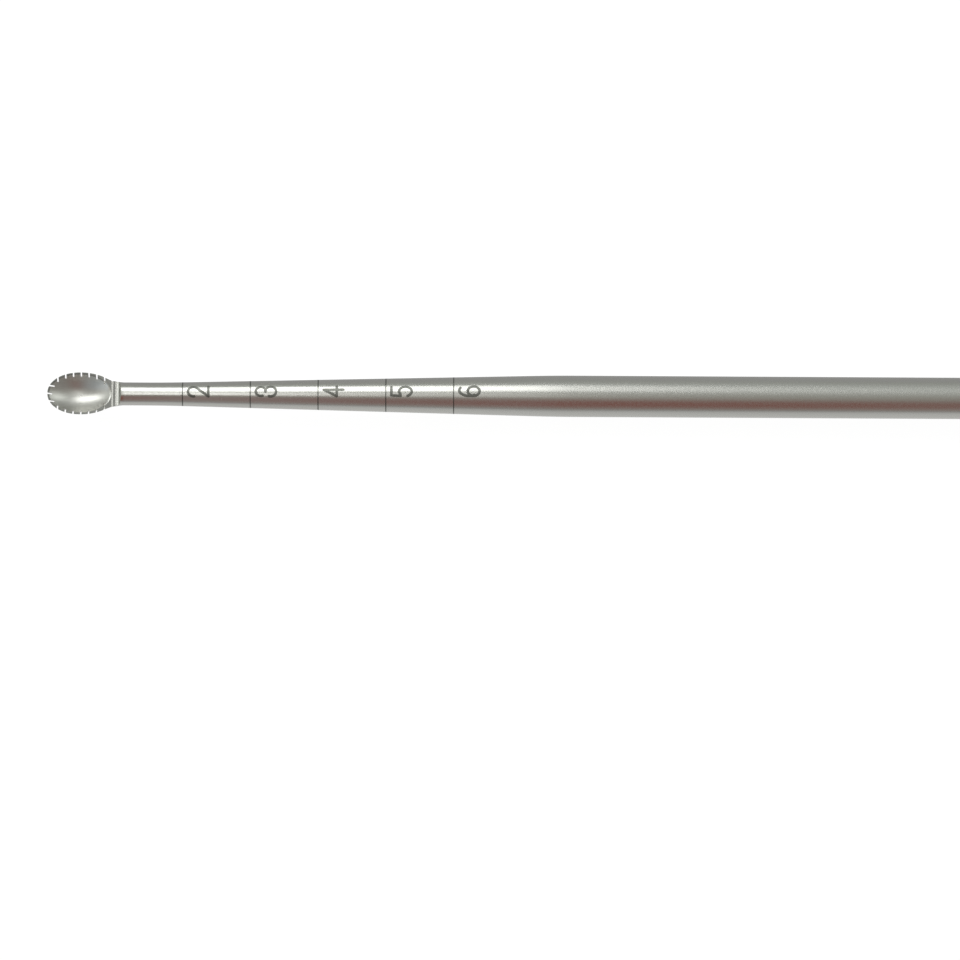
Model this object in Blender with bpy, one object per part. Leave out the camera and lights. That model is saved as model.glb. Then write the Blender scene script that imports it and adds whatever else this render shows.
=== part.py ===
"""A serrated cup curette, machined from one bar of stainless steel, at its real size in metres.

The shaft lies along X, with the cup at the -X end and the handle at the +X end. +Z is up, the way that
the cup opens. The curette rests on one flat of its handle, and the origin is on the ground under the
middle of its length. Places along the curette are measured from the tip of the cup.
"""

import math

import bmesh
import bpy

# Cup, seen from above
CUP_WIDTH = 0.0063
CUP_LENGTH = 0.01002  # tip to the foot of the shoulder
CUP_NOSE = 0.0049  # tip to the widest place
HEEL_OVERRUN = 0.0004  # how far the egg outline would run on past the shoulder's foot
NOSE_FULLNESS = 2.1  # 2 gives an elliptical nose, more a blunter one

# Cup, seen from the side
CUP_DEPTH = 0.0023  # rim to the belly
CUP_LEAN = 0.32  # 0 gives upright walls at the rim, more leans them outward
RIM_HEIGHT = 0.00025  # rim above the shaft's axis
SHOULDER_ANGLE = math.radians(81)
SHOULDER_FILLET = 0.0008  # hollow that rises from the flat behind the bowl

# Bowl
BOWL_DEPTH = 0.00182
BOWL_LEAN = 1.8
RIM_WALL = 0.0003  # plan width of the wall round the bowl
RIM_EDGE = 0.00008  # flat left at the outer edge of that wall
RIM_DROP = 0.00012  # fall of the wall's inner bevel
HEEL_LAND = 0.0006  # flat between the bowl and the shoulder
HEEL_BEVEL = 0.00024  # plan width of the bevel at the heel

# Saw slots that make the teeth
SLOT_WIDTH = 0.00022
SLOT_DEPTH = 0.0011
SLOT_PITCH = 0.00115
FIRST_SLOT = 0.00153  # tip to the middle of the first pair of side slots
SLOT_RUNOUT = 0.00024  # how far a side slot runs into the bowl
TIP_SLOTS = 3
TIP_RUNOUT = 0.0004  # how far a tip slot runs into the bowl

# Groove across the flat behind the bowl
GROOVE_WIDTH = 0.0003
GROOVE_DEPTH = 0.0004
GROOVE_PLACE = 0.00044  # its middle to the foot of the shoulder

# Root, neck, taper and shaft
ROOT_FLARE = 0.00035  # extra radius where the neck grows into the cup
ROOT_LENGTH = 0.003
ROOT_END = 0.0014  # foot of the shoulder to the plain neck
HEEL_BLEND = 0.0003  # rounds the corner between the egg outline and the root
NECK_DIAMETER = 0.0034
SHAFT_DIAMETER = 0.0061
TAPER_START = 0.0175
TAPER_LENGTH = 0.0573
TAPER_BLEND = 0.006  # length over which each end of the taper is rounded off

# Handle
HANDLE_START = 0.145
HANDLE_LENGTH = 0.109
HANDLE_SIDES = 6
HANDLE_ACROSS_FLATS = 0.01
CORNER_TRIM = 0.0002  # taken off each corner of the handle by the turning
COLLAR_LENGTH = 0.004
BUTT_CHAMFER = 0.0012

# Steps of the curved surfaces
AROUND = 72
AROUND_BOWL = 96
NOSE_STEPS = 14
NOSE_CROWDING = 1.5  # more sets the nose's rings closer together at the tip
HEEL_STEPS = 20
BLEND_STEPS = 4
BOWL_LEVELS = 12
FILLET_STEPS = 6
SHARP_ANGLE = math.radians(22)  # a turn that reads as an edge

# How far a cutter stands clear of what it cuts
CLEAR = 0.001

CURETTE_LENGTH = HANDLE_START + HANDLE_LENGTH
AXIS_HEIGHT = HANDLE_ACROSS_FLATS / 2
RIM_LEVEL = AXIS_HEIGHT + RIM_HEIGHT


def x_at(from_tip):
    """World X of a place measured from the tip."""
    return from_tip - CURETTE_LENGTH / 2


def smooth_max(a, b, reach):
    """The larger of two sizes, rounded off where they differ by less than reach."""
    near = max(reach - abs(a - b), 0.0) / reach
    return max(a, b) + near * near * reach / 4


def smooth_min(a, b, reach):
    """The smaller of two sizes, rounded off where they differ by less than reach."""
    return -smooth_max(-a, -b, reach)


def dish(away, lean):
    """Share of a dish's depth at a share of its half width: an arc that meets the rim at a lean."""
    bottom = math.sqrt(1 + lean**2)
    return (math.sqrt(bottom**2 - away**2) - lean) / (bottom - lean)


def turned_radius(from_tip):
    """Radius of the neck, the taper and the shaft."""
    neck = NECK_DIAMETER / 2
    shaft = SHAFT_DIAMETER / 2
    slope = (shaft - neck) / TAPER_LENGTH
    reach = abs(slope) * TAPER_BLEND / 2
    taper = neck + slope * (from_tip - TAPER_START)
    return smooth_min(smooth_max(taper, neck, reach), shaft, reach)


def root_radius(from_tip):
    """Radius of the neck where it grows into the cup."""
    along = (CUP_LENGTH + ROOT_END - from_tip) / ROOT_LENGTH
    along = min(max(along, 0.0), 1.0)
    return turned_radius(from_tip) + ROOT_FLARE * along * along * (3 - 2 * along)


def blank_section(from_tip):
    """Radius of the blank's round section here, and the height of its centre above the shaft's axis.

    In the cup the circle passes through the two edges of the rim and through the bottom. Ahead of the
    tip both the squared half width and the depth are negative, so the blank ends above the rim. Past
    the heel the same circle is the turned neck.
    """
    half = CUP_WIDTH / 2
    root = root_radius(from_tip)
    if from_tip < CUP_NOSE:
        away = (CUP_NOSE - from_tip) / CUP_NOSE
        inside = 1 - away**NOSE_FULLNESS
        squared = math.copysign(abs(inside) ** (2 / NOSE_FULLNESS), inside) * half**2
        depth = CUP_DEPTH * dish(away, CUP_LEAN)
    else:
        heel = CUP_LENGTH + HEEL_OVERRUN - CUP_NOSE
        away = min((from_tip - CUP_NOSE) / heel, 1.0)
        root_half = math.sqrt(root**2 - RIM_HEIGHT**2)
        root_depth = root + RIM_HEIGHT
        squared = smooth_max(half * math.sqrt(1 - away**2), root_half, HEEL_BLEND) ** 2
        depth = smooth_max(CUP_DEPTH * dish(away, CUP_LEAN), root_depth, HEEL_BLEND)
    radius = (squared + depth**2) / (2 * depth)
    return radius, RIM_HEIGHT - depth + radius


def places(start, end, steps, crowding=1.0):
    """Evenly spaced places from start to end, or crowded towards the start."""
    return [start + (end - start) * (i / steps) ** crowding for i in range(steps + 1)]


def new_object(name, builder):
    """Link an object whose mesh comes from a bmesh, with its normals facing out."""
    bmesh.ops.triangulate(builder, faces=builder.faces[:])
    bmesh.ops.recalc_face_normals(builder, faces=builder.faces[:])
    mesh = bpy.data.meshes.new(name)
    builder.to_mesh(mesh)
    builder.free()
    mesh.shade_smooth()
    made = bpy.data.objects.new(name, mesh)
    bpy.context.scene.collection.objects.link(made)
    return made


def new_cutter(name, builder):
    """Link an object that only cuts, hidden from the render."""
    made = new_object(name, builder)
    made.hide_render = True
    made.display_type = "WIRE"
    return made


def loft(builder, rings):
    """Skin closed rings of equal point count and cap both ends."""
    rows = [[builder.verts.new(point) for point in ring] for ring in rings]
    for low, high in zip(rows, rows[1:]):
        for i in range(len(low)):
            j = (i + 1) % len(low)
            builder.faces.new((low[i], low[j], high[j], high[i]))
    builder.faces.new(rows[0])
    builder.faces.new(reversed(rows[-1]))


def box(builder, low, high):
    """Add a closed box between two corners."""
    (x0, y0, z0), (x1, y1, z1) = low, high
    loft(builder, [[(x0, y0, z), (x1, y0, z), (x1, y1, z), (x0, y1, z)] for z in (z0, z1)])


def circle(from_tip, radius, centre_height=0.0):
    """A ring across the shaft, its centre this far above the shaft's axis."""
    ring = []
    for i in range(AROUND):
        angle = 2 * math.pi * (i + 0.5) / AROUND
        y = radius * math.cos(angle)
        z = AXIS_HEIGHT + centre_height + radius * math.sin(angle)
        ring.append((x_at(from_tip), y, z))
    return ring


def to_corner(across_flats):
    """Distance from the axis to a corner of the handle's sides."""
    return across_flats / 2 / math.cos(math.pi / HANDLE_SIDES)


def make_blank():
    """The bar before milling: a lofted cup blank that runs on into the turned neck, shaft and handle."""
    ahead_of_tip = CUP_NOSE * (1 - math.sqrt(1 + CUP_LEAN**2)) / 2
    blend = TAPER_BLEND / 2
    taper_end = TAPER_START + TAPER_LENGTH
    stations = places(ahead_of_tip, CUP_NOSE, NOSE_STEPS, NOSE_CROWDING)
    stations += places(CUP_NOSE, CUP_LENGTH + ROOT_END, HEEL_STEPS)[1:]
    stations += places(TAPER_START - blend, TAPER_START + blend, BLEND_STEPS)
    stations += places(taper_end - blend, taper_end + blend, BLEND_STEPS)
    rings = [circle(s, *blank_section(s)) for s in sorted(stations)]

    turned = to_corner(HANDLE_ACROSS_FLATS) - CORNER_TRIM
    rings.append(circle(HANDLE_START, turned_radius(HANDLE_START)))
    rings.append(circle(HANDLE_START + COLLAR_LENGTH, turned))
    rings.append(circle(CURETTE_LENGTH - BUTT_CHAMFER, turned))
    rings.append(circle(CURETTE_LENGTH, turned - BUTT_CHAMFER))

    builder = bmesh.new()
    loft(builder, rings)
    return new_object("curette", builder)


def make_rim_cutter():
    """Everything above the rim, back to the steep shoulder that rises out of a hollow."""
    blank_height = CUP_WIDTH**2 / CUP_DEPTH / 4
    top = 2 * blank_height
    foot = x_at(CUP_LENGTH)
    profile = [(x_at(-CLEAR), top), (x_at(-CLEAR), 0.0)]
    for turn in places(0.0, SHOULDER_ANGLE, FILLET_STEPS):
        x = foot + SHOULDER_FILLET * math.sin(turn)
        profile.append((x, SHOULDER_FILLET * (1 - math.cos(turn))))
    x, rise = profile[-1]
    profile.append((x + (top - rise) / math.tan(SHOULDER_ANGLE), top))

    side = CUP_WIDTH / 2 + CLEAR
    builder = bmesh.new()
    loft(builder, [[(x, y, RIM_LEVEL + rise) for x, rise in profile] for y in (-side, side)])
    return new_cutter("rim_cutter", builder)


def egg(nose, heel, half_width, level):
    """An egg outline about the cup's widest place: a blunt nose ahead of it and an ellipse behind."""
    ring = []
    for i in range(AROUND_BOWL):
        angle = 2 * math.pi * (i + 0.5) / AROUND_BOWL
        along, across = math.cos(angle), math.sin(angle)
        if along < 0:
            reach = (abs(along) ** NOSE_FULLNESS + abs(across) ** NOSE_FULLNESS) ** (-1 / NOSE_FULLNESS)
            x = x_at(CUP_NOSE) + nose * along * reach
            y = half_width * across * reach
        else:
            x = x_at(CUP_NOSE) + heel * along
            y = half_width * across
        ring.append((x, y, level))
    return ring


def bowl_sizes():
    """Nose, heel and half width of the bowl's inner edge, below its bevel."""
    nose = CUP_NOSE - RIM_WALL
    heel = CUP_LENGTH - HEEL_LAND - HEEL_BEVEL - CUP_NOSE
    return nose, heel, CUP_WIDTH / 2 - RIM_WALL


def make_bowl_cutter():
    """The hollow of the cup: one dished section all round, with a bevel that thins the rim.

    The bevel runs on above the rim only as far as it drops below it, clear of the shoulder.
    """
    nose, heel, half = bowl_sizes()
    inner_level = RIM_LEVEL - RIM_DROP
    spread = 2 * (RIM_WALL - RIM_EDGE)
    rings = [egg(nose + spread, heel + 2 * HEEL_BEVEL, half + spread, RIM_LEVEL + RIM_DROP)]
    for turn in places(0.0, math.pi / 2, BOWL_LEVELS)[:-1]:
        share = math.cos(turn)
        level = inner_level - (BOWL_DEPTH - RIM_DROP) * dish(share, BOWL_LEAN)
        rings.append(egg(nose * share, heel * share, half * share, level))
    builder = bmesh.new()
    loft(builder, rings)
    return new_cutter("bowl_cutter", builder)


def bowl_half_width(from_tip):
    """Half width of the bowl's inner edge at a place along it, and 0 past its ends."""
    nose, heel, half = bowl_sizes()
    if from_tip < CUP_NOSE:
        away = (CUP_NOSE - from_tip) / nose
        return half * max(1 - away**NOSE_FULLNESS, 0.0) ** (1 / NOSE_FULLNESS)
    away = (from_tip - CUP_NOSE) / heel
    return half * math.sqrt(max(1 - away**2, 0.0))


def bowl_front(across):
    """Place of the bowl's front edge at this distance from the middle line."""
    nose, _, half = bowl_sizes()
    away = max(1 - (abs(across) / half) ** NOSE_FULLNESS, 0.0) ** (1 / NOSE_FULLNESS)
    return CUP_NOSE - nose * away


def make_slot_cutter():
    """Saw cuts through the wall, in pairs along the sides and at the tip, and the groove at the heel."""
    half_slot = SLOT_WIDTH / 2
    floor = RIM_LEVEL - SLOT_DEPTH
    top = RIM_LEVEL + CLEAR
    outside = CUP_WIDTH / 2 + CLEAR
    last = CUP_LENGTH - GROOVE_PLACE
    spaces = max(round((last - FIRST_SLOT) / SLOT_PITCH), 1)
    builder = bmesh.new()
    for i in range(spaces):
        middle = FIRST_SLOT + (last - FIRST_SLOT) * i / spaces
        front, back = x_at(middle - half_slot), x_at(middle + half_slot)
        inner = max(bowl_half_width(middle) - SLOT_RUNOUT, half_slot)
        box(builder, (front, inner, floor), (back, outside, top))
        box(builder, (front, -outside, floor), (back, -inner, top))
    for i in range(TIP_SLOTS):
        across = (i - (TIP_SLOTS - 1) / 2) * SLOT_PITCH
        inner = x_at(bowl_front(across) + TIP_RUNOUT)
        box(builder, (x_at(-CLEAR), across - half_slot, floor), (inner, across + half_slot, top))
    front, back = x_at(last - GROOVE_WIDTH / 2), x_at(last + GROOVE_WIDTH / 2)
    box(builder, (front, -outside, RIM_LEVEL - GROOVE_DEPTH), (back, outside, top))
    return new_cutter("slot_cutter", builder)


def polygon(across_flats, x):
    """A ring of the handle's sides, with one flat facing down."""
    corner = to_corner(across_flats)
    ring = []
    for i in range(HANDLE_SIDES):
        angle = -math.pi / 2 + math.pi * (2 * i + 1) / HANDLE_SIDES
        ring.append((x, corner * math.cos(angle), AXIS_HEIGHT + corner * math.sin(angle)))
    return ring


def make_flat_cutter():
    """A sleeve with the handle's sides inside, which mills the flats."""
    front, back = x_at(HANDLE_START), x_at(CURETTE_LENGTH + CLEAR)
    inner, outer = HANDLE_ACROSS_FLATS, 2 * HANDLE_ACROSS_FLATS
    rings = [polygon(inner, front), polygon(outer, front), polygon(outer, back), polygon(inner, back)]
    builder = bmesh.new()
    rows = [[builder.verts.new(point) for point in ring] for ring in rings]
    for low, high in zip(rows, rows[1:] + rows[:1]):
        for i in range(HANDLE_SIDES):
            j = (i + 1) % HANDLE_SIDES
            builder.faces.new((low[i], low[j], high[j], high[i]))
    return new_cutter("flat_cutter", builder)


def satin_steel():
    """Stainless steel with a fine satin grain."""
    made = bpy.data.materials.new("satin_stainless_steel")
    made.use_nodes = True
    shader = made.node_tree.nodes["Principled BSDF"]
    shader.inputs["Base Color"].default_value = (0.55, 0.54, 0.52, 1.0)
    shader.inputs["Metallic"].default_value = 1.0
    shader.inputs["Roughness"].default_value = 0.3
    return made


def clear_scene():
    """Remove whatever the file holds."""
    for old in list(bpy.data.objects):
        bpy.data.objects.remove(old, do_unlink=True)


def mill(blank, cutters):
    """Cut away the cutters in turn, then keep the cut mesh with its new edges crisp."""
    for cutter in cutters:
        cut = blank.modifiers.new(cutter.name, "BOOLEAN")
        cut.operation = "DIFFERENCE"
        cut.solver = "EXACT"
        cut.object = cutter
    bpy.context.view_layer.update()
    evaluated = blank.evaluated_get(bpy.context.evaluated_depsgraph_get())
    milled = bpy.data.meshes.new_from_object(evaluated)
    milled.set_sharp_from_angle(angle=SHARP_ANGLE)
    blank.modifiers.clear()
    blank.data = milled


def main():
    clear_scene()
    curette = make_blank()
    mill(curette, [make_rim_cutter(), make_bowl_cutter(), make_slot_cutter(), make_flat_cutter()])
    curette.data.materials.append(satin_steel())


main()
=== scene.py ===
"""A serrated cup curette on a white paper sweep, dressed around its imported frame."""

import math

import bmesh
import bpy
from bpy.props import FloatProperty, FloatVectorProperty, IntProperty, PointerProperty, StringProperty
from mathutils import Matrix, Quaternion, Vector


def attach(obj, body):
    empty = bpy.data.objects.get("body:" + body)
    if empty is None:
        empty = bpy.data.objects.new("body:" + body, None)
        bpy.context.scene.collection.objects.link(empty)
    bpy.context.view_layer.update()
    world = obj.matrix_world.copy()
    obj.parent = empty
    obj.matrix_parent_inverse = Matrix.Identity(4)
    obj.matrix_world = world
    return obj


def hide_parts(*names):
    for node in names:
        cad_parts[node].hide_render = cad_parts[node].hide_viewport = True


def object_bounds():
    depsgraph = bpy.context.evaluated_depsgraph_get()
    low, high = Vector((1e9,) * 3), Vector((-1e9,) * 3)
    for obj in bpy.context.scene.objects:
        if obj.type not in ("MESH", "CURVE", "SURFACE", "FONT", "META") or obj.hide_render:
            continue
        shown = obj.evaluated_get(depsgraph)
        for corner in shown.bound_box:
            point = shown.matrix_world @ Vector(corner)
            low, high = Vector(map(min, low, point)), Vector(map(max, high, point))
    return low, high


bl_info = {
    "name": "Serrated Cup Curette",
    "version": (1, 0, 0),
    "blender": (4, 5, 0),
    "location": "View3D > Sidebar > Curette",
    "description": "Builds a serrated cup curette with its depth scale, and a studio stage for it",
    "category": "Object",
}

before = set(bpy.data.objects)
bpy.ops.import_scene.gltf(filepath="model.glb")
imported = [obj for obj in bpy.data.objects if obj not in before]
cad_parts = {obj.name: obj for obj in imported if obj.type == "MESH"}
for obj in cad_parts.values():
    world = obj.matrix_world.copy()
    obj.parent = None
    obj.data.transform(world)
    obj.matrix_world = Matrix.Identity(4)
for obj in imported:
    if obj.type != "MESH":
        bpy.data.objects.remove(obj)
FRAME_LOW, FRAME_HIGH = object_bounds()
CURETTE_LENGTH = FRAME_HIGH.x - FRAME_LOW.x
AXIS_HEIGHT = (FRAME_LOW.z + FRAME_HIGH.z) / 2
TIP_X = FRAME_LOW.x

MM = 0.001
CLEAR = 1.0 * MM  # how far a cutting form stands clear of what it cuts
SNAP = 1e-8  # how near to a numeral's bend line a point counts as on it
WHITE = (1.0, 1.0, 1.0, 1.0)

# How many steps draw each curved form, and where two faces meet in an edge that isn't smoothed
AROUND = 192
AROUND_BOWL = 288
NOSE_STEPS = 44
HEEL_STEPS = 48
BLEND_STEPS = 12
BOWL_LEVELS = 40
FILLET_STEPS = 16
STROKE_END_STEPS = 10
NUMERAL_STRIPS = 20
SHARP_ANGLE = math.radians(18)
NUMERAL_SHARP_ANGLE = math.radians(40)

# The steel's material slots, and how its faces are sorted into them
SATIN, GROUND, BLASTED = range(3)
UPWARD = 0.05  # least Z of the normal of a face that opens upwards
LEVEL = 0.9999  # least Z of the normal of a level face, such as the floor of a saw cut
TOWARDS_TIP = -0.3  # greatest X of the normal of a face that looks at the tip, as the heel's bevel does
BEVEL_SLACK = 1.02  # share of the bevel's drop down to which a face counts as rim


class CupSizes(bpy.types.PropertyGroup):
    """The oval cup, its bowl and the saw slots in its rim."""

    width: FloatProperty(
        name="Width", description="Across the widest place", default=6.3 * MM, unit="LENGTH"
    )
    length: FloatProperty(
        name="Length", description="Tip to the foot of the shoulder", default=10.02 * MM, unit="LENGTH"
    )
    nose: FloatProperty(
        name="Nose", description="Tip to the widest place", default=4.9 * MM, unit="LENGTH"
    )
    overrun: FloatProperty(
        name="Heel Overrun", description="How far the egg outline would run past the shoulder",
        default=0.4 * MM, unit="LENGTH",
    )
    fullness: FloatProperty(
        name="Nose Fullness", description="2 is an ellipse, more is blunter", default=2.1
    )
    depth: FloatProperty(name="Depth", description="Rim to belly", default=2.3 * MM, unit="LENGTH")
    lean: FloatProperty(name="Wall Lean", description="Outward lean of the wall at the rim", default=0.32)
    rim_height: FloatProperty(
        name="Rim Height", description="Rim above the shaft's axis", default=0.25 * MM, unit="LENGTH"
    )
    shoulder_angle: FloatProperty(
        name="Shoulder Angle", description="Slope behind the cup",
        default=math.radians(81), subtype="ANGLE",
    )
    shoulder_fillet: FloatProperty(
        name="Shoulder Fillet", description="Radius of the hollow at its foot",
        default=0.8 * MM, unit="LENGTH",
    )
    bowl_depth: FloatProperty(
        name="Bowl Depth", description="Rim to bowl floor", default=1.82 * MM, unit="LENGTH"
    )
    bowl_lean: FloatProperty(name="Bowl Lean", description="Outward lean of the bowl's side", default=1.8)
    rim_wall: FloatProperty(
        name="Rim Wall", description="Wall seen from above", default=0.3 * MM, unit="LENGTH"
    )
    rim_edge: FloatProperty(
        name="Rim Edge", description="Flat at the outer edge", default=0.08 * MM, unit="LENGTH"
    )
    rim_drop: FloatProperty(
        name="Rim Drop", description="Fall of the inner bevel", default=0.12 * MM, unit="LENGTH"
    )
    heel_land: FloatProperty(
        name="Heel Land", description="Flat between bowl and shoulder", default=0.6 * MM, unit="LENGTH"
    )
    heel_bevel: FloatProperty(
        name="Heel Bevel", description="Bevel at the bowl's heel", default=0.24 * MM, unit="LENGTH"
    )
    slot_width: FloatProperty(name="Slot Width", description="Saw cut", default=0.22 * MM, unit="LENGTH")
    slot_depth: FloatProperty(
        name="Slot Depth", description="Below the rim", default=1.1 * MM, unit="LENGTH"
    )
    slot_pitch: FloatProperty(
        name="Slot Pitch", description="Cut to cut", default=1.15 * MM, unit="LENGTH"
    )
    first_slot: FloatProperty(
        name="First Slot", description="From the tip", default=1.53 * MM, unit="LENGTH"
    )
    slot_runout: FloatProperty(
        name="Slot Runout", description="Into the bowl", default=0.24 * MM, unit="LENGTH"
    )
    tip_slots: IntProperty(name="Tip Slots", description="Cuts in the nose", default=3)
    tip_runout: FloatProperty(
        name="Tip Runout", description="Into the bowl", default=0.4 * MM, unit="LENGTH"
    )
    groove_width: FloatProperty(
        name="Groove Width", description="Across the heel", default=0.3 * MM, unit="LENGTH"
    )
    groove_depth: FloatProperty(
        name="Groove Depth", description="Below the rim", default=0.4 * MM, unit="LENGTH"
    )
    groove_place: FloatProperty(
        name="Groove Place", description="From the shoulder's foot", default=0.44 * MM, unit="LENGTH"
    )


class ShaftSizes(bpy.types.PropertyGroup):
    """The root behind the cup, the neck, the taper, the shaft and the handle."""

    root_flare: FloatProperty(
        name="Root Flare", description="Extra radius", default=0.35 * MM, unit="LENGTH"
    )
    root_length: FloatProperty(
        name="Root Length", description="Length of the flare", default=3 * MM, unit="LENGTH"
    )
    root_end: FloatProperty(
        name="Root End", description="Shoulder foot to the plain neck", default=1.4 * MM, unit="LENGTH"
    )
    heel_blend: FloatProperty(
        name="Heel Blend", description="Egg into root", default=0.3 * MM, unit="LENGTH"
    )
    neck: FloatProperty(name="Neck", description="Diameter", default=3.4 * MM, unit="LENGTH")
    shaft: FloatProperty(name="Shaft", description="Diameter", default=6.1 * MM, unit="LENGTH")
    taper_start: FloatProperty(
        name="Taper Start", description="From the tip", default=17.5 * MM, unit="LENGTH"
    )
    taper_length: FloatProperty(
        name="Taper Length", description="Along the shaft", default=57.3 * MM, unit="LENGTH"
    )
    taper_blend: FloatProperty(
        name="Taper Blend", description="Rounding at each end of the taper", default=6 * MM, unit="LENGTH"
    )
    handle_start: FloatProperty(
        name="Handle Start", description="From the tip", default=145 * MM, unit="LENGTH"
    )
    handle_sides: IntProperty(name="Handle Sides", description="Flats round the handle", default=6)
    across_flats: FloatProperty(name="Across Flats", description="Handle", default=10 * MM, unit="LENGTH")
    corner_trim: FloatProperty(
        name="Corner Trim", description="Off each corner", default=0.2 * MM, unit="LENGTH"
    )
    collar: FloatProperty(
        name="Collar", description="Cone in front of the handle", default=4 * MM, unit="LENGTH"
    )
    butt_chamfer: FloatProperty(
        name="Butt Chamfer", description="At the end", default=1.2 * MM, unit="LENGTH"
    )


class MarkSizes(bpy.types.PropertyGroup):
    """The depth scale that a laser drew on the taper."""

    spacing: FloatProperty(name="Spacing", description="Ring to ring", default=10 * MM, unit="LENGTH")
    first: IntProperty(name="First", description="First centimetre with a ring", default=2)
    last: IntProperty(name="Last", description="Last centimetre with a ring", default=6)
    ring_width: FloatProperty(
        name="Ring Width", description="Along the shaft", default=0.16 * MM, unit="LENGTH"
    )
    stroke: FloatProperty(
        name="Stroke", description="Width of a numeral's stroke", default=0.4 * MM, unit="LENGTH"
    )
    gap: FloatProperty(
        name="Gap", description="Ring to the top of its numeral", default=0.62 * MM, unit="LENGTH"
    )
    height: FloatProperty(
        name="Height", description="Of a numeral, over its strokes", default=3.4 * MM, unit="LENGTH"
    )
    width: FloatProperty(
        name="Width", description="Of a numeral, over its strokes", default=1.9 * MM, unit="LENGTH"
    )
    turn: FloatProperty(
        name="Turn", description="Of the numerals' line off the top",
        default=math.radians(4), subtype="ANGLE",
    )
    proud: FloatProperty(
        name="Proud", description="Height over the steel", default=0.006 * MM, unit="LENGTH"
    )
    sunk: FloatProperty(name="Sunk", description="Depth in the steel", default=0.05 * MM, unit="LENGTH")


class SteelFinish(bpy.types.PropertyGroup):
    """Colours and surface of the steel and of the laser's marks."""

    steel: StringProperty(
        name="Steel", description="Colour of the bare steel as sRGB hex", default="C9C9C4"
    )
    rim: StringProperty(name="Rim", description="Colour of the ground rim as sRGB hex", default="9C9D99")
    mark: StringProperty(
        name="Mark", description="Colour of the laser's oxide as sRGB hex", default="70716C"
    )
    cup_roughness: FloatProperty(
        name="Cup Roughness", description="Polished end", default=0.24, subtype="FACTOR"
    )
    bowl_roughness: FloatProperty(
        name="Bowl Roughness", description="Blasted bowl", default=0.39, subtype="FACTOR"
    )
    shaft_roughness: FloatProperty(
        name="Shaft Roughness", description="Satin end", default=0.27, subtype="FACTOR"
    )
    rim_roughness: FloatProperty(
        name="Rim Roughness", description="Ground rim", default=0.75, subtype="FACTOR"
    )
    mark_roughness: FloatProperty(
        name="Mark Roughness", description="Oxide", default=0.35, subtype="FACTOR"
    )
    grain: FloatProperty(
        name="Grain", description="Size of the satin grain", default=0.3 * MM, unit="LENGTH"
    )


class StageSettings(bpy.types.PropertyGroup):
    """Paper, lights, the wall that the steel mirrors, and camera."""

    paper: StringProperty(name="Paper", description="Colour of the sweep as sRGB hex", default="F4F4F2")
    wall: StringProperty(
        name="Wall", description="Colour of the mirrored wall as sRGB hex", default="8B4D40"
    )
    elevation: FloatProperty(
        name="Elevation", description="Camera above the horizon",
        default=math.radians(80), subtype="ANGLE",
    )
    roll: FloatProperty(
        name="Roll", description="Of the camera", default=math.radians(0.31), subtype="ANGLE"
    )
    distance: FloatProperty(
        name="Distance", description="Camera to the shaft", default=1.2, unit="LENGTH"
    )
    view_width: FloatProperty(
        name="View Width", description="Across the picture", default=141.75 * MM, unit="LENGTH"
    )
    view_centre: FloatProperty(
        name="View Centre", description="Middle of the picture, from the tip",
        default=63.95 * MM, unit="LENGTH",
    )
    view_rise: FloatProperty(
        name="View Rise", description="Shaft above the middle of the picture",
        default=12.43 * MM, unit="LENGTH",
    )
    lamp_watts: FloatProperty(name="Softbox", description="Power of the softbox in watts", default=1.25)
    lamp_distance: FloatProperty(
        name="Lamp Distance", description="To the shaft", default=0.4, unit="LENGTH"
    )
    lamp_angle: FloatProperty(
        name="Lamp Angle", description="Above the horizon behind the shaft",
        default=math.radians(55), subtype="ANGLE",
    )
    lamp_size: FloatVectorProperty(
        name="Lamp Size", description="Length and width", size=2, default=(0.58, 0.25), unit="LENGTH"
    )
    lamp_place: FloatProperty(
        name="Lamp Place", description="Middle of the lamp, from the tip",
        default=-234 * MM, unit="LENGTH",
    )
    near_watts: FloatProperty(
        name="Near Card", description="Light of the card over the cup in watts", default=0.0138
    )
    near_place: FloatProperty(
        name="Near Place", description="Middle of the near card, from the tip",
        default=2 * MM, unit="LENGTH",
    )
    near_size: FloatVectorProperty(
        name="Near Size", description="Length and width", size=2, default=(0.02, 0.09), unit="LENGTH"
    )
    far_watts: FloatProperty(
        name="Far Card", description="Light of the card over the taper in watts", default=0.0064
    )
    far_place: FloatProperty(
        name="Far Place", description="Middle of the far card, from the tip",
        default=41 * MM, unit="LENGTH",
    )
    far_size: FloatVectorProperty(
        name="Far Size", description="Length and width", size=2, default=(0.058, 0.09), unit="LENGTH"
    )
    card_distance: FloatProperty(
        name="Card Distance", description="Cards to the shaft", default=0.2, unit="LENGTH"
    )
    card_angle: FloatProperty(
        name="Card Angle", description="Above the horizon behind the shaft",
        default=math.radians(95), subtype="ANGLE",
    )


def x_at(from_tip):
    """World X of a place measured from the tip of the cup."""
    return TIP_X + from_tip


def smooth_max(a, b, reach):
    """The larger of two sizes, rounded off where they differ by less than reach."""
    near = max(reach - abs(a - b), 0.0) / reach
    return max(a, b) + near * near * reach / 4


def dish(away, lean):
    """Share of a dish's depth at a share of its half width: an arc that meets the rim at a lean."""
    bottom = math.sqrt(1 + lean**2)
    return (math.sqrt(bottom**2 - away**2) - lean) / (bottom - lean)


def places(start, end, steps, crowding=1.0):
    """Evenly spaced places from start to end, or crowded towards the start."""
    return [start + (end - start) * (i / steps) ** crowding for i in range(steps + 1)]


def turned_radius(shaft, from_tip):
    """Radius of the neck, the taper and the shaft."""
    low, high = shaft.neck / 2, shaft.shaft / 2
    slope = (high - low) / shaft.taper_length
    reach = slope * shaft.taper_blend / 2
    taper = low + slope * (from_tip - shaft.taper_start)
    return -smooth_max(-smooth_max(taper, low, reach), -high, reach)


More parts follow.
